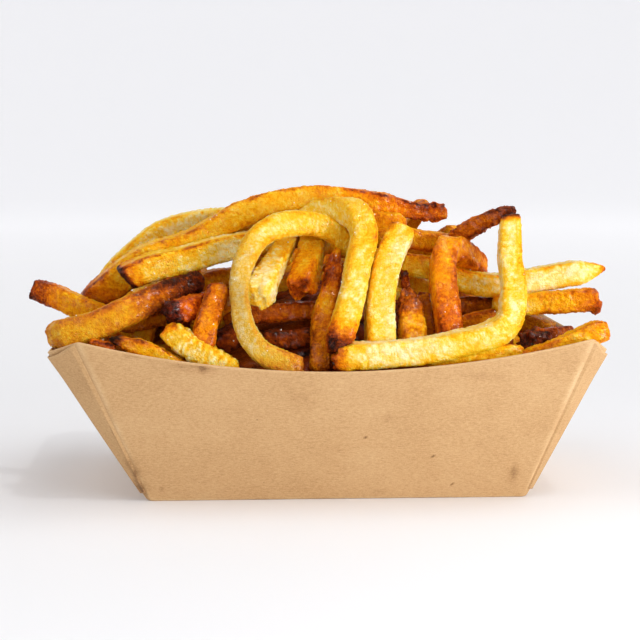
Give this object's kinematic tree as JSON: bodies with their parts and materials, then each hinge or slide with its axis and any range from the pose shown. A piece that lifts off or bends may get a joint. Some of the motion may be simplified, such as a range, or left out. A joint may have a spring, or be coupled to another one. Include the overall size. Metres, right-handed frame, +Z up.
{
  "type": "french fries in a kraft paperboard tray",
  "caption": "Open folded kraft paperboard tray with flared walls and dipped long rims, heaped with skin-free hand-cut french fries.",
  "frame": {"origin": "middle of the tray's flat base, on the surface that the tray stands on", "axes": "+X along the tray towards its right end, -Y towards its front long wall, +Z up"},
  "size_m": [0.1907, 0.12, 0.1015],
  "materials": {
    "kraft_board": "matte",
    "fried_potato": "satin"
  },
  "bodies": {
    "root": {"tray": "kraft_board", "fries": "fried_potato"}
  },
  "joints": []
}
